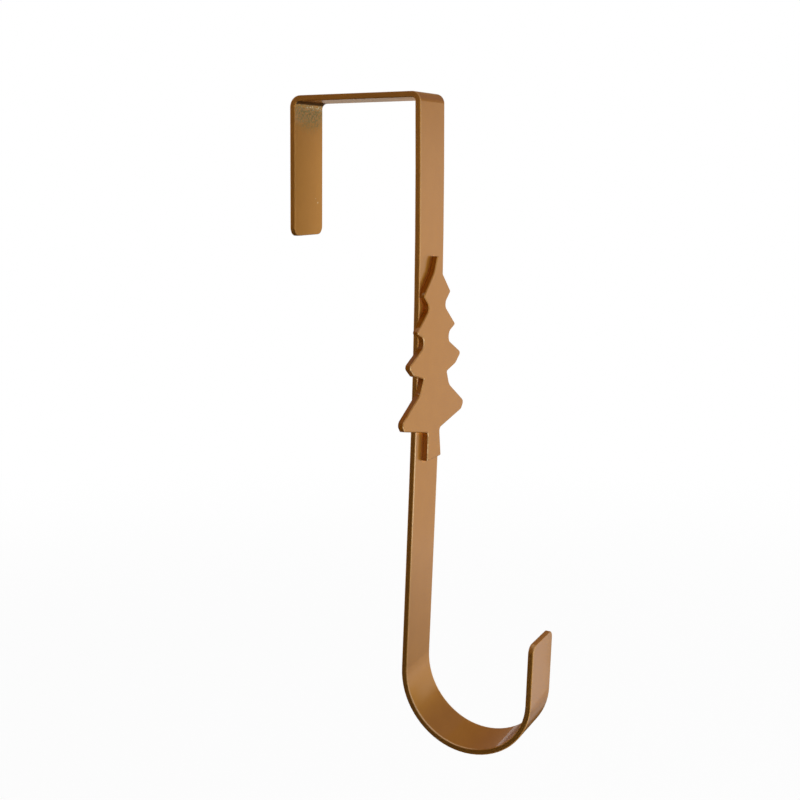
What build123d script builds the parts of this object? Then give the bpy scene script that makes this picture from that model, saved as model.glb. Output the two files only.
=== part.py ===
from build123d import *
from itertools import accumulate
from math import radians, tan
import os

os.makedirs("parts", exist_ok=True)

# Over-the-door wreath hanger: one flat bar bent into a saddle, a long shaft and a J hook, with a tree
# cut from plate welded on the front of the shaft. Millimetres, +Z up and -Y to the front, away from the door.
# The origin is the middle of the saddle's underside, where the hanger sits on the top edge of the door.

# Flat bar
bar_width = 20.0
bar_thickness = 2.0
edge_round = 0.35  # softened edge all round the bar
end_corner_r = 3.0  # rounded corners of the two cut ends

# Saddle over the door
door_gap = 46.0  # clear width between the shaft and the back flange
back_bend_r = 2.0  # inside radius of the bend above the flange
front_bend_r = 1.3  # inside radius of the bend above the shaft
flange_drop = 46.5  # the flange's reach below the underside of the saddle
flange_splay = 1.2  # degrees that the flange opens away from the door

# Shaft: bowed a little towards the door, then straight on to the hook
bow_length = 133.3  # the bow begins at the saddle's front bend
shaft_lean = 2.74  # degrees turned by the whole bow
straight_length = 66.0

# Hook: three tangent arcs that tighten towards the tip, radii on the inside of the J
hook_r_heel = 25.0
hook_r_bottom = 22.8
hook_r_toe = 20.3
tip_flare = 2.3  # degrees that the tip leans away from the shaft
tip_length = 21.9

# Tree plate: where it sits
tree_thickness = 2.0
tree_bevel = 0.3  # edge of the cut plate, on its front only
tree_drop = 53.2  # drop from the underside of the saddle to the top of the tree
tree_shift = 1.2  # the tree is welded this far to the +X side of the bar's middle

# Tree outline. Every corner is where two straight runs would meet before they are rounded.
# A reach is measured out from the tree's middle, a fall down from the corner before it.
crown_half = 0.5  # the top is cut off flat
crown_knee_reach = 2.65
crown_knee_fall = 4.9
crown_knee_r = 9.0

tier_1_reach = 11.3
tier_1_fall = 8.05
tier_1_r = 0.8
waist_1_reach = 5.9
waist_1_fall = 4.25
waist_1_r = 1.9

tier_2_reach = 16.4
tier_2_fall = 7.95
tier_2_r = 0.7
waist_2_reach = 7.2
waist_2_fall = 3.65
waist_2_r = 2.3

tier_3_reach = 22.3
tier_3_fall = 7.25
tier_3_r = 1.1
belly_3_reach = 17.4
belly_3_fall = 3.6
belly_3_r = 3.0
waist_3_reach = 9.8
waist_3_fall = 1.9
waist_3_r = 0.3

knee_4_reach = 12.2
knee_4_fall = 4.85
knee_4_r = 5.0
tier_4_reach = 26.7
tier_4_fall = 8.4
tier_4_r = 1.6
heel_4_reach = 24.2
heel_4_fall = 2.9
heel_4_r = 1.5

trunk_half = 4.75
trunk_top_fall = 3.7
trunk_top_r = 1.3
trunk_length = 10.3
trunk_foot_flare = 2.1  # the trunk widens to its foot on the +X side only
trunk_foot_r = 0.4

# Sizes that follow from those above
bow_radius = bow_length / radians(shaft_lean)
hook_turn = 180 + shaft_lean - tip_flare
flange_foot = (door_gap / 2 + flange_drop * tan(radians(flange_splay)), -flange_drop)
widest_reach = max(tier_1_reach, tier_2_reach, tier_3_reach, tier_4_reach)


def shaft_line(stand_off):
    """Draws the shaft's line, bow then straight run, stand_off in front of its back face."""
    bow = JernArc(
        start=(-door_gap / 2 - stand_off, -front_bend_r),
        tangent=(0, -1),
        radius=bow_radius + stand_off,
        arc_size=shaft_lean,
    )
    return PolarLine(bow @ 1, straight_length, direction=bow % 1)


def hook_arc(line, inside_radius):
    """Draws one third of the hook's turn on from the end of a line of the bar's back face."""
    return JernArc(line @ 1, line % 1, inside_radius + bar_thickness, -hook_turn / 3)


def half_outline(side, foot_flare):
    """Draws one flank of the tree from crown to foot, side -1 or +1, with the foot foot_flare wider."""
    corners = [
        (crown_knee_reach, crown_knee_fall, crown_knee_r),
        (tier_1_reach, tier_1_fall, tier_1_r),
        (waist_1_reach, waist_1_fall, waist_1_r),
        (tier_2_reach, tier_2_fall, tier_2_r),
        (waist_2_reach, waist_2_fall, waist_2_r),
        (tier_3_reach, tier_3_fall, tier_3_r),
        (belly_3_reach, belly_3_fall, belly_3_r),
        (waist_3_reach, waist_3_fall, waist_3_r),
        (knee_4_reach, knee_4_fall, knee_4_r),
        (tier_4_reach, tier_4_fall, tier_4_r),
        (heel_4_reach, heel_4_fall, heel_4_r),
        (trunk_half, trunk_top_fall, trunk_top_r),
        (trunk_half + foot_flare, trunk_length, trunk_foot_r),
    ]
    reaches, falls, radii = zip(*corners)
    drops = list(accumulate(falls, initial=0))
    flank = zip((crown_half, *reaches, 0), (*drops, drops[-1]))
    return FilletPolyline(*[(side * reach, -drop) for reach, drop in flank], radius=list(radii))


# Bar: its back line from the flange's foot to the hook's tip, thickened to the outside
with BuildPart() as hanger_strip:
    with BuildSketch(Plane.YZ):
        with BuildLine():
            saddle_front = (-door_gap / 2 + front_bend_r, 0)
            FilletPolyline(flange_foot, (door_gap / 2, 0), saddle_front, radius=back_bend_r)
            JernArc(saddle_front, (-1, 0), front_bend_r, 90)
            run = shaft_line(0)
            heel = hook_arc(run, hook_r_heel)
            bottom = hook_arc(heel, hook_r_bottom)
            toe = hook_arc(bottom, hook_r_toe)
            PolarLine(toe @ 1, tip_length, direction=toe % 1)
            offset(amount=bar_thickness, side=Side.RIGHT, closed=True)
        make_face()
    extrude(amount=bar_width / 2, both=True)

    # Rounded corners of the two cut ends, then the softened edge all round
    ends = hanger_strip.faces().filter_by(GeomType.PLANE).sort_by(SortBy.AREA)[:2]
    fillet(ends.edges().filter_by(Axis.X, reverse=True), radius=end_corner_r)
    sides = hanger_strip.faces().filter_by(Axis.X)
    fillet(sides.edges(), radius=edge_round)

hanger_strip.part.label = "hanger_strip"
export_step(hanger_strip.part, "parts/hanger_strip.step")

# Tree: a plate that follows the bow of the shaft's front face, cut to the outline
with BuildPart() as tree_plate:
    with BuildSketch(Plane.YZ):
        with BuildLine():
            shaft_line(bar_thickness)
            offset(amount=tree_thickness, side=Side.RIGHT, closed=True)
        make_face()
    extrude(amount=widest_reach + tree_shift, both=True)
    tree_front = Plane(origin=(tree_shift, 0, -tree_drop), x_dir=(1, 0, 0), z_dir=(0, -1, 0))
    with BuildSketch(tree_front):
        with BuildLine():
            near = half_outline(-1, 0)
            far = half_outline(1, trunk_foot_flare)
            Line(near @ 0, far @ 0)
        make_face()
    extrude(amount=door_gap, mode=Mode.INTERSECT)  # from the door's middle forward, well past the plate

    # The cut edge is eased where it shows, round the front face
    broad_faces = tree_plate.faces().sort_by(SortBy.AREA)[-2:]
    chamfer(broad_faces.sort_by(Axis.Y)[0].edges(), length=tree_bevel)

tree_plate.part.label = "tree_plate"
export_step(tree_plate.part, "parts/tree_plate.step")
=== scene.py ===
"""Finishes, studio and camera for the over-the-door wreath hanger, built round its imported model.

Lengths are in metres unless a name ends in mm, colours are linear, and angles are in degrees.
"""

import logging
from dataclasses import dataclass
from enum import Enum
from math import radians

import bpy
import numpy as np
from mathutils import Matrix, Vector

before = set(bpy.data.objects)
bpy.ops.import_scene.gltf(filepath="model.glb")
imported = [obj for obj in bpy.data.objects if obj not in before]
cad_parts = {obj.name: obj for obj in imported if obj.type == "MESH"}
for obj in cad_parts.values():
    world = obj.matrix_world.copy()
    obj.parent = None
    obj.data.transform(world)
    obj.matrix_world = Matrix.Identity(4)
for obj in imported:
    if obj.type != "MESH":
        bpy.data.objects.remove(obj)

LOG = logging.getLogger("wreath_hanger")
MM = 0.001
VECTOR = "NodeSocketVector"
NUMBER = "NodeSocketFloat"
Colour = tuple[float, float, float]
Place = tuple[float, float, float]
PlanPlace = tuple[float, float]
Span = tuple[float, float]
Socket = bpy.types.NodeSocket
BRASSY: Colour = (0.95, 0.62, 0.25)
DULL_BRASS: Colour = (0.52, 0.33, 0.14)
WARM_BROWN: Colour = (0.62, 0.33, 0.13)
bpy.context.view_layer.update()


class Ray(Enum):
    """Kinds of ray that see the white studio."""

    CAMERA = "Is Camera Ray"
    GLOSSY = "Is Glossy Ray"
    TRANSMISSION = "Is Transmission Ray"


class Measure(Enum):
    """What a card's shade is graded along."""

    HEIGHT = "height above the origin"
    REACH = "distance from the Z axis"


@dataclass(frozen=True)
class Noise:
    """A noise pattern: about how many metres across its features are, and how many finer octaves it has."""

    size: float
    detail: float


class NodeGraph:
    """A small builder for one shader node tree."""

    def __init__(self, tree: bpy.types.NodeTree) -> None:
        """Starts on an empty tree.

        Args:
            tree: the node tree of a material, a world or a group.
        """
        self.tree = tree
        self.tree.nodes.clear()

    def feed(self, value: object, target: Socket) -> None:
        """Links an input to a socket, or sets it to a plain value.

        Args:
            value: a socket or a plain value.
            target: the input.
        """
        if isinstance(value, bpy.types.NodeSocket):
            self.tree.links.new(value, target)
        else:
            target.default_value = value

    def add(
        self, kind: str, values: dict[str | int, object] | None = None, **settings: object
    ) -> bpy.types.Node:
        """Adds a node.

        Args:
            kind: Blender's name of the node type.
            values: what each input is set to, a value or another node's socket.
            settings: the node's own properties.

        Returns:
            The new node.
        """
        node = self.tree.nodes.new(kind)
        for name, setting in settings.items():
            setattr(node, name, setting)
        for key, value in (values or {}).items():
            self.feed(value, node.inputs[key])
        return node

    def put(
        self, group: bpy.types.NodeTree, values: dict[str, object]
    ) -> bpy.types.bpy_prop_collection:
        """Puts a node group in, sets its inputs and returns its outputs."""
        return self.add("ShaderNodeGroup", values, node_tree=group).outputs

    def math(self, operation: str, *terms: Socket | float) -> Socket:
        """Adds a math node on its terms and returns its result."""
        return self.add("ShaderNodeMath", dict(enumerate(terms)), operation=operation).outputs[0]

    def product(self, first: Socket | float, *others: Socket | float) -> Socket:
        """Multiplies its terms one after the other.

        Args:
            first: the first term.
            others: the terms that follow.

        Returns:
            The product of them all.
        """
        result = first
        for term in others:
            result = self.math("MULTIPLY", result, term)
        return result

    def line(self, value: Socket, slope: Socket | float, start: Socket | float) -> Socket:
        """Adds a straight line through a value: value times slope, plus start."""
        return self.math("MULTIPLY_ADD", value, slope, start)

    def split(self, vector: Socket) -> tuple[Socket, Socket, Socket]:
        """Splits a vector into its three parts."""
        parts = self.add("ShaderNodeSeparateXYZ", {"Vector": vector}).outputs
        return parts["X"], parts["Y"], parts["Z"]

    def ramp(self, value: Socket, span: Span) -> Socket:
        """Adds a smooth step of a value.

        Args:
            value: the value to step.
            span: where the step is at 0 and where it is at 1.

        Returns:
            The stepped value, from 0 to 1.
        """
        low, high = span
        values = {"Value": value, "From Min": low, "From Max": high}
        step = self.add("ShaderNodeMapRange", values, interpolation_type="SMOOTHSTEP")
        return step.outputs["Result"]

    def blend(self, amount: Socket | float, first: Socket | Colour, second: Socket | Colour) -> Socket:
        """Adds a colour mix.

        Args:
            amount: 0 for the first colour, 1 for the second.
            first: a colour or a colour socket.
            second: a colour or a colour socket.

        Returns:
            The mixed colour.
        """
        mix = self.add("ShaderNodeMix", {"Factor": amount}, data_type="RGBA")
        for name, colour in (("A", first), ("B", second)):
            target = next(entry for entry in mix.inputs if entry.name == name and entry.type == "RGBA")
            self.feed(colour if isinstance(colour, bpy.types.NodeSocket) else (*colour, 1.0), target)
        return next(entry for entry in mix.outputs if entry.type == "RGBA")

    def noise(self, place: Socket, pattern: Noise) -> Socket:
        """Adds a noise pattern and returns its value, 0 to 1."""
        values = {"Vector": place, "Scale": 1 / pattern.size, "Detail": pattern.detail}
        return self.add("ShaderNodeTexNoise", values).outputs["Fac"]

    def rounded(self, reach: float, samples: int) -> Socket:
        """Adds a normal that rounds the solid's edges over a reach in metres."""
        return self.add("ShaderNodeBevel", {"Radius": reach}, samples=samples).outputs["Normal"]

    def length(self, vector: Socket) -> Socket:
        """Works out a vector's length."""
        return self.add("ShaderNodeVectorMath", {0: vector}, operation="LENGTH").outputs["Value"]


def open_group(name: str, inputs: dict[str, str], outputs: tuple[str, ...]) -> tuple[NodeGraph, dict, dict]:
    """Starts a shader node group.

    Args:
        name: the group's name.
        inputs: socket type by input name.
        outputs: names of its outputs, all of them numbers.

    Returns:
        The group's builder, its inputs by name as sockets to read, and its outputs as sockets to feed.
    """
    tree = bpy.data.node_groups.new(name, "ShaderNodeTree")
    for socket_name, kind in inputs.items():
        tree.interface.new_socket(socket_name, in_out="INPUT", socket_type=kind)
    for socket_name in outputs:
        tree.interface.new_socket(socket_name, in_out="OUTPUT", socket_type=NUMBER)
    graph = NodeGraph(tree)
    source = graph.add("NodeGroupInput").outputs
    target = graph.add("NodeGroupOutput").inputs
    return graph, {entry: source[entry] for entry in inputs}, {entry: target[entry] for entry in outputs}


@dataclass(frozen=True)
class PaintGrain:
    """The paint's grain: fine orange peel with metal flakes in it."""

    peel: Noise = Noise(0.55 * MM, 3.0)
    tooth: Noise = Noise(0.16 * MM, 2.0)
    tooth_share: float = 0.35
    flake: Noise = Noise(0.11 * MM, 1.0)
    flake_rim: Span = (0.62, 0.74)
    mottle: Noise = Noise(6.0 * MM, 3.0)

    def make(self) -> bpy.types.NodeTree:
        """Makes the node group.

        Returns:
            A group with Height for a bump, Flake for bright grains and Mottle for slow changes of tone.
        """
        graph, given, result = open_group("paint_grain", {"Place": VECTOR}, ("Height", "Flake", "Mottle"))
        place = given["Place"]
        height = graph.line(graph.noise(place, self.tooth), self.tooth_share, graph.noise(place, self.peel))
        graph.feed(height, result["Height"])
        graph.feed(graph.ramp(graph.noise(place, self.flake), self.flake_rim), result["Flake"])
        graph.feed(graph.noise(place, self.mottle), result["Mottle"])
        return graph.tree


@dataclass(frozen=True)
class CornerWearAndShade:
    """The thin, rough coat in the corner where the flange leaves the saddle, and a dark line of painted shade
    along its fold.

    The cover lies inside half an ellipse about the corner's middle, on the two inner faces only. Its rim is
    broken up by noise, and it is laid in dots.
    """

    middle_x: float = 0.5 * MM
    half_width: float = 12.5 * MM
    depth: float = 8.6 * MM
    rim: Span = (1.70, 1.00)
    rag: Noise = Noise(1.1 * MM, 4.0)
    rag_share: float = 0.7
    before_flange: Span = (24.1 * MM, 23.9 * MM)
    below_saddle: Span = (0.3 * MM, 0.1 * MM)
    near_flange: Span = (20.2 * MM, 21.2 * MM)
    off_side_face: Span = (0.6, 0.3)
    grit: Noise = Noise(0.70 * MM, 1.0)
    dot_rim: Span = (0.42, 0.56)
    between_dots: float = 0.1
    crumb: Noise = Noise(0.7 * MM, 3.0)
    crumb_rim: Span = (0.50, 0.60)
    crumb_height: Span = (-3.4 * MM, -1.5 * MM)
    crumb_side: Span = (-10.5 * MM, 0.0)
    fold_height: Span = (-0.85 * MM, -0.45 * MM)
    fold_rag: float = 0.5 * MM

    def find_inner(self, graph: NodeGraph, given: dict[str, Socket]) -> Socket:
        """Marks the two inner faces at the corner.

        Args:
            graph: the group's builder.
            given: the group's inputs by name.

        Returns:
            1 on the inner faces, 0 elsewhere.
        """
        _, y, z = graph.split(given["Place"])
        sideways = graph.math("ABSOLUTE", graph.split(given["Facing"])[0])
        return graph.product(
            graph.ramp(y, self.before_flange),
            graph.ramp(z, self.below_saddle),
            graph.ramp(y, self.near_flange),
            graph.ramp(sideways, self.off_side_face),
        )

    def make(self) -> bpy.types.NodeTree:
        """Makes the node group.

        Returns:
            A group with Cover for the thin coat, Pale for its light crumbs, Dark for the painted shade along
            the fold and Height for a bump.
        """
        inputs = {"Place": VECTOR, "Facing": VECTOR}
        graph, given, result = open_group("corner_wear_and_shade", inputs, ("Cover", "Pale", "Dark", "Height"))
        place = given["Place"]
        x, _, z = graph.split(place)
        inner = self.find_inner(graph, given)

        across = graph.math("DIVIDE", graph.math("SUBTRACT", x, self.middle_x), self.half_width)
        down = graph.math("DIVIDE", z, self.depth)
        squares = graph.math("ADD", graph.math("POWER", across, 2.0), graph.math("POWER", down, 2.0))
        ragged = graph.line(graph.noise(place, self.rag), self.rag_share, graph.math("SQRT", squares))
        within = graph.product(graph.ramp(ragged, self.rim), inner)

        grit = graph.noise(place, self.grit)
        dots = graph.line(graph.ramp(grit, self.dot_rim), 1.0 - self.between_dots, self.between_dots)
        crumbs = graph.ramp(graph.noise(place, self.crumb), self.crumb_rim)
        high, right = graph.ramp(z, self.crumb_height), graph.ramp(x, self.crumb_side)
        # painted shade: a dark line along the fold of the bend
        fold = graph.ramp(graph.line(grit, self.fold_rag, z), self.fold_height)

        graph.feed(graph.product(within, dots), result["Cover"])
        graph.feed(graph.product(crumbs, high, right, inner), result["Pale"])
        graph.feed(graph.product(fold, inner), result["Dark"])
        graph.feed(graph.product(grit, within), result["Height"])
        return graph.tree


@dataclass(frozen=True)
class EdgeHighlight:
    """The painted highlight along the front edges of the bar: a pale line with duller metal.

    It lies where the rounded normal starts to turn to one side while it still faces the front or up. It is
    strongest half-way down the shaft, next in the bottom of the hook, and weak on the flange.
    """

    turned_aside: Span = (0.04, 0.16)
    still_onward: Span = (0.70, 0.90)
    least: float = 0.22
    shaft_middle: float = -123.0 * MM
    shaft_fade: Span = (44.0 * MM, 14.0 * MM)
    shaft_gain: float = 0.62
    hook_height: Span = (-203.0 * MM, -215.0 * MM)
    hook_gain: float = 0.35
    rag: Noise = Noise(1.6 * MM, 3.0)
    rag_least: float = 0.7
    rag_gain: float = 0.6
    before_flange: Span = (22.0 * MM, 10.0 * MM)
    flange_share: float = 0.25

    def make(self) -> bpy.types.NodeTree:
        """Makes the node group.

        Returns:
            A group with Mask, from 0 to 1.
        """
        graph, given, result = open_group("edge_highlight", {"Place": VECTOR, "Rounded": VECTOR}, ("Mask",))
        turn, front, rise = graph.split(given["Rounded"])
        _, y, z = graph.split(given["Place"])
        aside = graph.ramp(graph.math("ABSOLUTE", turn), self.turned_aside)
        onward = graph.math("SUBTRACT", graph.math("MAXIMUM", 0.0, rise), front)

        from_middle = graph.math("ABSOLUTE", graph.math("SUBTRACT", z, self.shaft_middle))
        strength = graph.line(graph.ramp(from_middle, self.shaft_fade), self.shaft_gain, self.least)
        strength = graph.line(graph.ramp(z, self.hook_height), self.hook_gain, strength)
        uneven = graph.line(graph.noise(given["Place"], self.rag), self.rag_gain, self.rag_least)
        forward = graph.line(graph.ramp(y, self.before_flange), 1.0 - self.flange_share, self.flange_share)

        mask = graph.product(aside, graph.ramp(onward, self.still_onward), strength, uneven, forward)
        graph.feed(mask, result["Mask"])
        return graph.tree


@dataclass(frozen=True)
class BevelHighlight:
    """The painted highlight on the eased front edge of the plate.

    It is full where the face stands half-way between front and side, and it comes in below the second tier.
    It is weaker where the edge faces well up or well down.
    """

    off_side: Span = (-0.45, -0.60)
    off_front: Span = (-0.93, -0.85)
    off_top: Span = (0.30, 0.10)
    off_bottom: Span = (-0.64, -0.52)
    up_and_down_share: float = 0.25
    below_tier: Span = (-70.0 * MM, -84.0 * MM)
    rag: Noise = Noise(2.2 * MM, 2.0)
    rag_rim: Span = (0.30, 0.60)

    def make(self) -> bpy.types.NodeTree:
        """Makes the node group.

        Returns:
            A group with Mask, from 0 to 1.
        """
        graph, given, result = open_group("bevel_highlight", {"Place": VECTOR, "Facing": VECTOR}, ("Mask",))
        _, front, rise = graph.split(given["Facing"])
        height = graph.split(given["Place"])[2]
        sloped = graph.product(graph.ramp(front, self.off_side), graph.ramp(front, self.off_front))
        level = graph.product(graph.ramp(rise, self.off_top), graph.ramp(rise, self.off_bottom))
        strength = graph.line(level, 1.0 - self.up_and_down_share, self.up_and_down_share)
        uneven = graph.ramp(graph.noise(given["Place"], self.rag), self.rag_rim)
        mask = graph.product(sloped, graph.ramp(height, self.below_tier), strength, uneven)
        graph.feed(mask, result["Mask"])
        return graph.tree


@dataclass(frozen=True)
class SpeckShape:
    """The ragged shape of one speck: full within about half its radius and gone at about its radius."""

    rag: Noise = Noise(0.45 * MM, 2.0)
    rag_share: float = 0.8
    rim: Span = (1.35, 0.85)

    def make(self) -> bpy.types.NodeTree:
        """Makes the node group.

        Returns:
            A group with Mask, from 0 to 1.
        """
        inputs = {"Place": VECTOR, "Middle": VECTOR, "Radius": NUMBER}
        graph, given, result = open_group("speck", inputs, ("Mask",))
        ends = {0: given["Place"], 1: given["Middle"]}
        away = graph.add("ShaderNodeVectorMath", ends, operation="DISTANCE").outputs["Value"]
        share = graph.math("DIVIDE", away, given["Radius"])
        ragged = graph.line(graph.noise(given["Place"], self.rag), self.rag_share, share)
        graph.feed(graph.ramp(ragged, self.rim), result["Mask"])
        return graph.tree


@dataclass(frozen=True)
class Speck:
    """A small worn mark in the paint: its middle, its radius and its colour."""

    middle_mm: Place
    radius_mm: float = 0.5
    colour: Colour = (0.72, 0.60, 0.38)


@dataclass(frozen=True)
class Groups:
    """The node groups that the finishes share."""

    grain: bpy.types.NodeTree
    speck: bpy.types.NodeTree
    corner_wear_and_shade: bpy.types.NodeTree
    edge_highlight: bpy.types.NodeTree
    bevel_highlight: bpy.types.NodeTree

    @classmethod
    def make(cls) -> "Groups":
        """Makes each group once."""
        makers = (PaintGrain(), SpeckShape(), CornerWearAndShade(), EdgeHighlight(), BevelHighlight())
        return cls(*(maker.make() for maker in makers))


@dataclass
class PaintWork:
    """A paint while it is built up: its graph, and the values that the next step starts from."""

    material: bpy.types.Material
    graph: NodeGraph
    groups: Groups
    place: Socket
    facing: Socket
    tone: Socket
    rough: Socket
    metal: Socket | float
    coat: Socket | float
    height: Socket

    def cover(self, mask: Socket, colour: Colour) -> None:
        """Lays a colour over the tone wherever a mask is above 0."""
        self.tone = self.graph.blend(mask, self.tone, colour)


@dataclass(frozen=True)
class SatinCopper:
    """Satin copper-bronze metallic paint on steel, and the steps that each painted piece takes from it.

    The flakes give the grain its sparkle and the mottle its slow change of tone.
    """

    name: str
    specks: tuple[Speck, ...] = ()
    face: Colour = (0.500, 0.232, 0.038)
    deep: Colour = (0.480, 0.220, 0.034)
    mottle_rim: Span = (0.35, 0.65)
    flake: Colour = (0.62, 0.32, 0.10)
    flake_share: float = 0.35
    metallic: float = 0.95
    roughness: float = 0.42
    roughness_change: float = 0.08
    rim_tint: Colour = (0.70, 0.40, 0.10)
    coat: float = 0.65
    coat_roughness: float = 0.16
    peel_depth: float = 0.006 * MM
    # painted shade: the crevices' colour where ambient occlusion finds another surface close by; the bar's
    # paint makes it a painted orange reflection
    crevice_shade_and_glow: Colour = (0.150, 0.045, 0.002)
    crevice_reach: float = 0.45 * MM
    crevice_rim: Span = (0.80, 0.50)
    crevice_samples: int = 8
    # painted highlight: the pale colour laid where a highlight mask is above 0
    painted_highlight: Colour = (0.98, 0.72, 0.42)
    highlight_dulling: float = 0.35

    def begin(self, groups: Groups) -> PaintWork:
        """Starts the material with its plain, unworn paint.

        Args:
            groups: the shared node groups.

        Returns:
            The work so far.
        """
        material = bpy.data.materials.new(self.name)
        material.use_nodes = True
        graph = NodeGraph(material.node_tree)
        sight = graph.add("ShaderNodeTexCoord").outputs
        surface = graph.put(groups.grain, {"Place": sight["Object"]})
        tone = graph.blend(graph.ramp(surface["Mottle"], self.mottle_rim), self.deep, self.face)
        smoothest = self.roughness - self.roughness_change / 2
        return PaintWork(
            material=material,
            graph=graph,
            groups=groups,
            place=sight["Object"],
            facing=sight["Normal"],
            tone=graph.blend(graph.product(surface["Flake"], self.flake_share), tone, self.flake),
            rough=graph.line(surface["Mottle"], self.roughness_change, smoothest),
            metal=self.metallic,
            coat=self.coat,
            height=surface["Height"],
        )

    def paint_crevice_shade_and_glow(self, work: PaintWork) -> None:
        """Paints light into the crevices where another surface stands close by: painted shade here, and a
        painted orange reflection in the bar's paint.

        Args:
            work: the paint so far.
        """
        values = {"Distance": self.crevice_reach}
        # painted shade from ambient occlusion, in the colour set above
        sky = work.graph.add("ShaderNodeAmbientOcclusion", values, samples=self.crevice_samples)
        work.cover(work.graph.ramp(sky.outputs["AO"], self.crevice_rim), self.crevice_shade_and_glow)

    def add_specks(self, work: PaintWork) -> None:
        """Adds the specks, one over the other in their order.

        Args:
            work: the paint so far.
        """
        for speck in self.specks:
            middle, radius = Vector(speck.middle_mm) * MM, speck.radius_mm * MM
            values = {"Place": work.place, "Middle": middle, "Radius": radius}
            work.cover(work.graph.put(work.groups.speck, values)["Mask"], speck.colour)

    def paint_highlight(self, work: PaintWork, mask: Socket) -> None:
        """Paints a pale highlight, with duller metal, wherever a mask is above 0."""
        work.cover(mask, self.painted_highlight)
        work.metal = work.graph.line(mask, -self.highlight_dulling, work.metal)

    def add_bump(self, work: PaintWork) -> bpy.types.Node:
        """Adds the bump of the orange peel and returns its node."""
        return work.graph.add("ShaderNodeBump", {"Height": work.height, "Distance": self.peel_depth})

    def finish(self, work: PaintWork, bump: bpy.types.Node) -> bpy.types.Material:
        """Puts the shader on.

        Args:
            work: the paint, all of its steps done.
            bump: the node that gives the surface's normal.

        Returns:
            The material.
        """
        shader = work.graph.add(
            "ShaderNodeBsdfPrincipled",
            {
                "Base Color": work.tone,
                "Metallic": work.metal,
                "Roughness": work.rough,
                "Specular Tint": (*self.rim_tint, 1.0),
                "Normal": bump.outputs["Normal"],
                "Coat Weight": work.coat,
                "Coat Roughness": self.coat_roughness,
            },
        )
        work.graph.add("ShaderNodeOutputMaterial", {"Surface": shader.outputs["BSDF"]})
        return work.material


@dataclass(frozen=True)
class BarPaint(SatinCopper):
    """The bar's paint: a painted orange reflection beside the plate, thin in one corner with painted shade
    along its fold, and a painted highlight along its front edges.
    """

    # painted reflection: the crevices' colour on the bar is a bright orange band beside the plate, out to 3
    # mm
    crevice_shade_and_glow: Colour = (0.95, 0.400, 0.060)
    crevice_reach: float = 3.0 * MM
    thin: Colour = (0.31, 0.265, 0.105)
    crumb: Colour = (0.86, 0.76, 0.52)
    # painted shade along the fold of the bend
    fold: Colour = (0.110, 0.058, 0.018)
    thin_roughening: float = 0.2
    thin_dulling: float = 0.5
    thin_relief: float = 6.0
    soft_edge: float = 0.5 * MM
    soft_edge_samples: int = 6
    # reach and samples of the rounding that places the painted edge highlight
    highlight_reach: float = 1.0 * MM
    highlight_samples: int = 8

    def wear_and_shade_corner(self, work: PaintWork) -> None:
        """Wears the paint thin in the corner between flange and saddle, and paints shade along the fold.

        Args:
            work: the paint so far.
        """
        graph = work.graph
        wear_and_shade = graph.put(work.groups.corner_wear_and_shade, {"Place": work.place, "Facing": work.facing})
        for name, colour in (("Cover", self.thin), ("Pale", self.crumb), ("Dark", self.fold)):
            work.cover(wear_and_shade[name], colour)
        work.rough = graph.line(wear_and_shade["Cover"], self.thin_roughening, work.rough)
        work.metal = graph.line(wear_and_shade["Cover"], -self.thin_dulling, work.metal)
        lost = graph.math("MAXIMUM", wear_and_shade["Cover"], wear_and_shade["Dark"])
        work.coat = graph.line(lost, -self.coat, self.coat)
        work.height = graph.line(wear_and_shade["Height"], self.thin_relief, work.height)

    def make(self, groups: Groups) -> bpy.types.Material:
        """Builds the material.

        Args:
            groups: the shared node groups.

        Returns:
            The material.
        """
        work = self.begin(groups)
        self.paint_crevice_shade_and_glow(work)
        self.add_specks(work)
        self.wear_and_shade_corner(work)
        bump = self.add_bump(work)
        work.graph.feed(work.graph.rounded(self.soft_edge, self.soft_edge_samples), bump.inputs["Normal"])
        # painted highlight along the bar's front edges, placed by a wider rounding
        wide = work.graph.rounded(self.highlight_reach, self.highlight_samples)
        self.paint_highlight(work, work.graph.put(groups.edge_highlight, {"Place": work.place, "Rounded": wide})["Mask"])
        return self.finish(work, bump)


@dataclass(frozen=True)
class PlatePaint(SatinCopper):
    """The plate's paint: painted shade on the cut edge, which is also rougher, and a painted highlight where
    that edge is eased.
    """

    # painted highlight colour for the eased edge
    painted_highlight: Colour = (0.95, 0.64, 0.32)
    # painted shade: the cut edge's darker brown stands in for shade on the plate's side faces
    cut: Colour = (0.430, 0.155, 0.010)
    cut_facing: Span = (0.45, 0.25)
    cut_roughening: float = 0.22

    def shade_cut_edge(self, work: PaintWork) -> None:
        """Paints shade on the cut edge as a darker brown, and makes it rougher.

        Args:
            work: the paint so far.
        """
        front = work.graph.math("ABSOLUTE", work.graph.split(work.facing)[1])
        edge = work.graph.ramp(front, self.cut_facing)
        work.cover(edge, self.cut)
        work.rough = work.graph.line(edge, self.cut_roughening, work.rough)

    def make(self, groups: Groups) -> bpy.types.Material:
        """Builds the material.

        Args:
            groups: the shared node groups.

        Returns:
            The material.
        """
        work = self.begin(groups)
        self.shade_cut_edge(work)
        self.paint_crevice_shade_and_glow(work)
        self.add_specks(work)
        bump = self.add_bump(work)
        # painted highlight on the eased edge
        self.paint_highlight(work, work.graph.put(groups.bevel_highlight, {"Place": work.place, "Facing": work.facing})["Mask"])
        return self.finish(work, bump)


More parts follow.
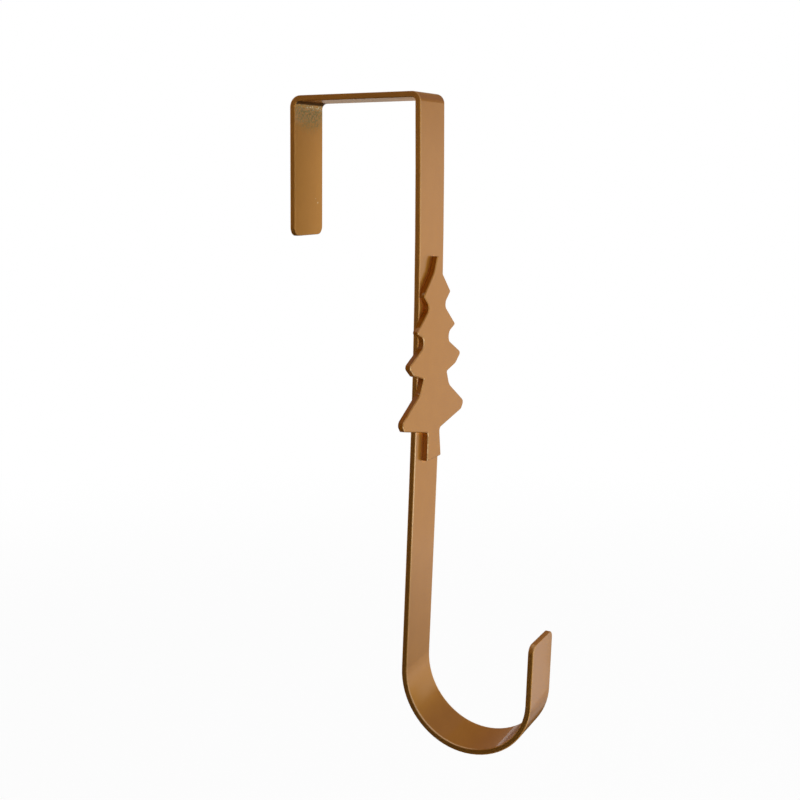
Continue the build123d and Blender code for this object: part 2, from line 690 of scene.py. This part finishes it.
@dataclass
class Viewpoint:
    """The camera, where the photograph was taken from."""

    place_mm: Place = (-402.38, -205.02, -26.83)
    yaw: float = 64.366
    pitch: float = 9.855
    roll: float = -0.382
    lens_mm: float = 57.23
    clip_start: float = 0.01

    def make(self) -> bpy.types.Object:
        """Makes the camera.

        It looks along +Y turned by yaw towards +X, tilted down by pitch and rolled about its line of sight.

        Returns:
            The camera's object.
        """
        camera = bpy.data.cameras.new("photo_camera")
        camera.lens = self.lens_mm
        camera.clip_start = self.clip_start
        holder = bpy.data.objects.new("photo_camera", camera)
        bpy.context.scene.collection.objects.link(holder)
        turn = (
            Matrix.Rotation(radians(-self.yaw), 4, "Z")
            @ Matrix.Rotation(radians(90 - self.pitch), 4, "X")
            @ Matrix.Rotation(radians(self.roll), 4, "Z")
        )
        holder.matrix_world = Matrix.Translation(Vector(self.place_mm) * MM) @ turn
        bpy.context.scene.camera = holder
        return holder


def grid_sheet(name: str, points: np.ndarray, material: bpy.types.Material) -> bpy.types.Object:
    """Makes a sheet of the stage from a grid of points.

    Args:
        name: the sheet's name.
        points: rows by columns by 3 coordinates, in metres.
        material: its material.

    Returns:
        The sheet's object.
    """
    rows, columns = points.shape[:2]
    index = np.arange(rows * columns).reshape(rows, columns)
    corners = (index[:-1, :-1], index[:-1, 1:], index[1:, 1:], index[1:, :-1])
    faces = np.stack(corners, axis=-1).reshape(-1, 4)
    mesh = bpy.data.meshes.new(name)
    mesh.from_pydata(points.reshape(-1, 3).tolist(), [], faces.tolist())
    mesh.materials.append(material)
    sheet = bpy.data.objects.new(name, mesh)
    bpy.context.scene.collection.objects.link(sheet)
    return sheet


def upright_arc(radius: float, turn: Span, heights: Span, columns: int = 33) -> np.ndarray:
    """Works out part of an upright cylinder about the Z axis.

    The point at angle a and height h is (radius cos a, radius sin a, h).

    Args:
        radius: the cylinder's radius.
        turn: the first and the last angle, in degrees from +X towards +Y.
        heights: the heights of the lower and the upper edge.
        columns: how many points lie along the arc.

    Returns:
        The grid of points.
    """
    angle, height = np.meshgrid(np.radians(np.linspace(*turn, columns)), np.linspace(*heights, 2))
    return np.stack([radius * np.cos(angle), radius * np.sin(angle), height], axis=-1)


def upright_sheet(near: PlanPlace, far: PlanPlace, heights: Span) -> np.ndarray:
    """Works out an upright sheet on the straight line between two places on plan.

    The point at share t and height h is (near + t (far - near), h).

    Args:
        near: x and y of one upright edge.
        far: x and y of the other.
        heights: the heights of the lower and the upper edge.

    Returns:
        The grid of points.
    """
    share, height = np.meshgrid(np.linspace(0.0, 1.0, 2), np.linspace(*heights, 2))
    x, y = (near[axis] + share * (far[axis] - near[axis]) for axis in (0, 1))
    return np.stack([x, y, height], axis=-1)


def flat_square(half: float, level: float) -> np.ndarray:
    """Works out a level square about the Z axis, of points (x, y, level) with x and y from -half to half."""
    x, y = np.meshgrid(np.linspace(-half, half, 3), np.linspace(-half, half, 3))
    return np.stack([x, y, np.full_like(x, level)], axis=-1)


def floor_fan(reaches: Span, turn: Span, level: float, columns: int = 33) -> np.ndarray:
    """Works out part of a level ring about the Z axis.

    The point at angle a and distance r is (r cos a, r sin a, level).

    Args:
        reaches: the ring's inner and outer radius.
        turn: the first and the last angle, in degrees from +X towards +Y.
        level: the ring's height.
        columns: how many points lie along the ring.

    Returns:
        The grid of points.
    """
    angle, reach = np.meshgrid(np.radians(np.linspace(*turn, columns)), np.linspace(*reaches, 2))
    return np.stack([reach * np.cos(angle), reach * np.sin(angle), np.full_like(angle, level)], axis=-1)


def even(shade: float) -> Span:
    """Gives a card one shade from end to end."""
    return shade, shade


@dataclass
class Card:
    """A stiff sheet that the lens never sees and the paint reflects, as a studio's flags and bounces are.

    Its shade runs from the first to the second of its shades between the two levels of its measure.
    """

    name: str
    points: np.ndarray
    shades: Span
    levels: Span = (0.0, 1.0)
    measure: Measure = Measure.HEIGHT
    tint: Colour = (1.0, 1.0, 1.0)

    def make(self) -> bpy.types.Object:
        """Makes the card.

        Returns:
            The card's object.
        """
        material = bpy.data.materials.new(self.name)
        material.use_nodes = True
        graph = NodeGraph(material.node_tree)
        x, y, height = graph.split(graph.add("ShaderNodeTexCoord").outputs["Object"])
        if self.measure is Measure.REACH:
            flat = graph.add("ShaderNodeCombineXYZ", {"X": x, "Y": y}).outputs["Vector"]
            level = graph.length(flat)
        else:
            level = height
        values = {
            "Value": level,
            "From Min": self.levels[0],
            "From Max": self.levels[1],
            "To Min": self.shades[0],
            "To Max": self.shades[1],
        }
        shade = graph.add("ShaderNodeMapRange", values).outputs["Result"]
        tone = graph.add("ShaderNodeEmission", {"Color": (*self.tint, 1.0), "Strength": shade})
        graph.add("ShaderNodeOutputMaterial", {"Surface": tone.outputs[0]})
        card = grid_sheet(self.name, self.points, material)
        card.visible_camera = False
        card.visible_diffuse = False
        card.visible_shadow = False
        return card


@dataclass
class Studio:
    """A pale room with one soft lamp, a white floor and cards that only the paint reflects.

    A turn on plan is given from +X towards +Y, and each lift raises a level card above the one below it. The
    floor glows a little less than white near the hanger, so that its shade shows there.
    """

    floor_level: float = -0.42
    floor_half: float = 6.0
    floor_colour: Colour = (0.9, 0.9, 0.9)
    full_glow_reach: Span = (0.7, 1.4)
    near_glow: float = 0.92
    world_level: float = 0.45
    lamp_place: Place = (0.3, -0.3, 1.4)
    lamp_aim: Place = (0.0, 0.0, -0.4)
    lamp_side: float = 1.2
    lamp_power: float = 14.0
    wall_radius: float = 4.0
    wall_join: float = 0.45
    wall_top: float = 3.0
    front_turn: Span = (-75.0, -4.0)
    rear_turn: Span = (-4.0, 75.0)
    ceiling_half: float = 0.8
    ceiling_level: float = 0.5
    flag_radius: float = 0.36
    flag_top: float = 0.45
    flag_step: float = 0.05
    short_flag_radius: float = 0.30
    short_flag_top: float = -0.22
    lift: float = 0.005

    def white_to_eye(self, graph: NodeGraph) -> Socket:
        """Adds the test for rays that show the studio's white.

        Args:
            graph: the builder of the material or world.

        Returns:
            1 for camera, glossy and transmission rays, 0 for the others.
        """
        path = graph.add("ShaderNodeLightPath").outputs
        seen = [path[ray.value] for ray in Ray]
        return graph.math("MAXIMUM", graph.math("MAXIMUM", seen[0], seen[1]), seen[2])

    def make_world(self) -> None:
        """Lights the room from all round at a plain level, white where it is seen."""
        world = bpy.data.worlds.new("pale_room")
        world.use_nodes = True
        graph = NodeGraph(world.node_tree)
        values = {"Value": self.white_to_eye(graph), "To Min": self.world_level, "To Max": 1.0}
        level = graph.add("ShaderNodeMapRange", values).outputs["Result"]
        light = graph.add("ShaderNodeBackground", {"Color": (1.0, 1.0, 1.0, 1.0), "Strength": level})
        graph.add("ShaderNodeOutputWorld", {"Surface": light.outputs["Background"]})
        bpy.context.scene.world = world
        bpy.context.scene.view_settings.view_transform = "Standard"

    def make_floor(self) -> bpy.types.Object:
        """Lays the white floor: seen as white, and a little darker where the hanger shades it.

        Returns:
            The floor's object.
        """
        material = bpy.data.materials.new("white_floor")
        material.use_nodes = True
        graph = NodeGraph(material.node_tree)
        paint = graph.add("ShaderNodeBsdfDiffuse", {"Color": (*self.floor_colour, 1.0)})
        glow = graph.add("ShaderNodeEmission", {"Color": (1.0, 1.0, 1.0, 1.0), "Strength": 1.0})
        far = graph.length(graph.add("ShaderNodeTexCoord").outputs["Object"])
        glowing = graph.line(graph.ramp(far, self.full_glow_reach), 1.0 - self.near_glow, self.near_glow)
        share = graph.product(self.white_to_eye(graph), glowing)
        both = graph.add("ShaderNodeMixShader", {0: share, 1: paint.outputs[0], 2: glow.outputs[0]})
        graph.add("ShaderNodeOutputMaterial", {"Surface": both.outputs[0]})
        return grid_sheet("floor", flat_square(self.floor_half, self.floor_level), material)

    def make_lamp(self) -> bpy.types.Object:
        """Hangs the square soft lamp above the hanger.

        Returns:
            The lamp's object.
        """
        lamp = bpy.data.lights.new("top_lamp", "AREA")
        lamp.shape = "RECTANGLE"
        lamp.size = self.lamp_side
        lamp.size_y = self.lamp_side
        lamp.energy = self.lamp_power
        holder = bpy.data.objects.new("top_lamp", lamp)
        bpy.context.scene.collection.objects.link(holder)
        holder.visible_camera = False
        holder.visible_glossy = False
        holder.location = self.lamp_place
        aim = Vector(self.lamp_aim) - Vector(self.lamp_place)
        holder.rotation_euler = aim.to_track_quat("-Z", "Y").to_euler()
        return holder

    def room_cards(self) -> list[Card]:
        """Plans the room that the front faces reflect: its walls and its ceiling.

        Returns:
            The cards.
        """
        low, join, top = self.floor_level, self.wall_join, self.wall_top
        front_wall = upright_arc(self.wall_radius, turn=self.front_turn, heights=(low, join))
        upper_wall = upright_arc(self.wall_radius, turn=self.front_turn, heights=(join, top))
        rear_wall = upright_arc(self.wall_radius, turn=self.rear_turn, heights=(low, top))
        ceiling = flat_square(self.ceiling_half, self.ceiling_level)
        return [
            Card("front_wall_card", front_wall, shades=(1.10, 0.50), levels=(0.0, join)),
            Card("upper_wall_card", upper_wall, shades=even(0.42), tint=(1.0, 0.80, 0.76)),
            Card("rear_wall_card", rear_wall, shades=even(0.42), tint=(1.0, 0.72, 0.46)),
            Card("ceiling_card", ceiling, shades=even(0.43), tint=(1.0, 0.86, 0.82)),
        ]

    def table_cards(self) -> list[Card]:
        """Plans the level cards below the hanger, which the faces that look down and ahead reflect.

        Returns:
            The cards.
        """
        first = self.floor_level + 2 * self.lift
        second, third = first + self.lift, first + 2 * self.lift
        table = floor_fan(reaches=(0.05, 0.80), turn=(-75.0, -10.0), level=first)
        far_table = floor_fan(reaches=(0.48, 1.50), turn=(-10.0, 60.0), level=first)
        under = floor_fan(reaches=(0.05, 0.50), turn=(-10.0, 190.0), level=first)
        front = floor_fan(reaches=(0.45, 2.60), turn=(197.0, 216.0), level=first)
        toe = floor_fan(reaches=(0.02, 0.24), turn=(-80.0, 20.0), level=second)
        front_glint = floor_fan(reaches=(0.50, 2.60), turn=(250.0, 300.0), level=third)
        near_glint = floor_fan(reaches=(0.20, 0.28), turn=(288.0, 306.0), level=third)
        return [
            Card("table_card", table, shades=(0.54, 1.12), levels=(0.46, 0.74), measure=Measure.REACH),
            Card("far_table_card", far_table, shades=even(0.12)),
            Card("under_card", under, shades=even(0.09), tint=(1.0, 0.72, 0.48)),
            Card("front_sheet", front, shades=even(2.6), tint=(1.0, 0.88, 0.70)),
            Card("toe_card", toe, shades=even(0.12)),
            Card("front_glint", front_glint, shades=even(1.8), tint=(0.80, 0.90, 1.0)),
            Card("near_glint", near_glint, shades=even(1.8), tint=(1.0, 0.86, 0.66)),
        ]

    def flag_cards(self) -> list[Card]:
        """Plans the flags on the camera's side, which the bar's side and the cut edges reflect.

        Returns:
            The cards.
        """
        low, step, top = self.floor_level, self.flag_step, self.flag_top
        side = upright_arc(self.flag_radius, turn=(116.0, 197.0), heights=(low, top))
        middle = upright_arc(self.flag_radius, turn=(216.0, 248.0), heights=(low, step))
        high = upright_arc(self.flag_radius, turn=(197.0, 222.0), heights=(step, top))
        short = upright_arc(self.short_flag_radius, turn=(186.0, 214.0), heights=(low, self.short_flag_top))
        return [
            Card("side_flag", side, shades=(0.085, 0.28), levels=(-0.25, 0.0), tint=(1.0, 0.72, 0.52)),
            Card("mid_flag", middle, shades=even(0.12)),
            Card("high_flag", high, shades=even(0.45), tint=(1.0, 0.84, 0.70)),
            Card("low_flag", short, shades=even(0.04)),
        ]

    def close_cards(self) -> list[Card]:
        """Plans the small cards close to the hanger, one each for the flange, the hook's tip and its heel.

        Returns:
            The cards.
        """
        gap = upright_sheet(near=(0.012, 0.0), far=(0.075, 0.0), heights=(-0.060, -0.006))
        tip = upright_sheet(near=(0.060, -0.120), far=(0.060, -0.082), heights=(-0.245, -0.185))
        heel = upright_sheet(near=(0.060, -0.081), far=(0.060, -0.063), heights=(-0.220, -0.182))
        return [
            Card(
                "gap_card",
                gap,
                shades=(0.15, 1.30),
                levels=(0.015, 0.065),
                measure=Measure.REACH,
                tint=(1.0, 0.94, 0.74),
            ),
            Card("tip_card", tip, shades=even(1.15), tint=(0.86, 0.94, 1.0)),
            Card("heel_card", heel, shades=even(0.40), tint=(1.0, 0.88, 0.70)),
        ]

    def make(self) -> None:
        """Sets up the whole studio."""
        self.make_world()
        self.make_floor()
        for card in self.room_cards() + self.table_cards() + self.flag_cards() + self.close_cards():
            card.make()
        self.make_lamp()


def paint_piece(node: str, material: bpy.types.Material) -> None:
    """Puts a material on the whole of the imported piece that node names."""
    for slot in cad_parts[node].material_slots:
        slot.material = material


@dataclass
class HangerStrip:
    """The bent bar: back flange, saddle, shaft and J hook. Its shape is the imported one."""

    node: str = "hanger_strip"
    flange_specks: tuple[Speck, ...] = (
        Speck((6.4, 23.7, -35.1), 0.45),
        Speck((4.9, 23.6, -33.6), 0.3),
    )
    tip_specks: tuple[Speck, ...] = (
        Speck((-9.9, -66.0, -185.7), 0.5, BRASSY),
        Speck((-9.6, -66.9, -186.8), 0.4, BRASSY),
    )

    def dress(self, groups: Groups) -> bpy.types.Material:
        """Gives the bar its paint.

        Args:
            groups: the node groups that the finishes share.

        Returns:
            The material.
        """
        specks = self.flange_specks + self.tip_specks
        material = BarPaint("painted_bar_satin", specks).make(groups)
        paint_piece(self.node, material)
        return material


@dataclass
class TreePlate:
    """The tree cut from plate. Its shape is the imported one."""

    node: str = "tree_plate"
    tier_1_smudges: tuple[Speck, ...] = (
        Speck((-10.9, -26.1, -64.9), 0.9, DULL_BRASS),
        Speck((-9.4, -25.5, -65.1), 0.9, DULL_BRASS),
    )
    tier_2_marks: tuple[Speck, ...] = (
        Speck((-13.8, -25.2, -76.8), 1.5, WARM_BROWN),
        Speck((-12.0, -24.6, -82.6), 0.55),
        Speck((-11.2, -25.3, -84.0), 0.45),
    )
    tier_3_specks: tuple[Speck, ...] = (
        Speck((-20.6, -25.5, -88.3), 0.5),
        Speck((-19.6, -24.6, -87.6), 0.4),
        Speck((-11.6, -24.6, -99.4), 0.55),
    )
    tier_4_specks: tuple[Speck, ...] = (Speck((-24.6, -24.8, -106.4), 0.5),)
    trunk_specks: tuple[Speck, ...] = (
        Speck((-6.4, -24.0, -115.5), 0.35),
        Speck((-6.4, -24.0, -118.6), 0.35),
    )

    def dress(self, groups: Groups) -> bpy.types.Material:
        """Gives the plate its paint.

        Args:
            groups: the node groups that the finishes share.

        Returns:
            The material.
        """
        upper = self.tier_1_smudges + self.tier_2_marks
        lower = self.tier_3_specks + self.tier_4_specks + self.trunk_specks
        material = PlatePaint("painted_plate_satin", upper + lower).make(groups)
        paint_piece(self.node, material)
        return material


def main() -> None:
    """Builds the scene in order: camera, studio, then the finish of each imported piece."""
    logging.basicConfig(level=logging.INFO, format="%(name)s: %(message)s")
    Viewpoint().make()
    Studio().make()
    groups = Groups.make()
    for piece in (HangerStrip(), TreePlate()):
        material = piece.dress(groups)
        LOG.info("%s is finished in %s", piece.node, material.name)


if __name__ == "__main__":
    main()
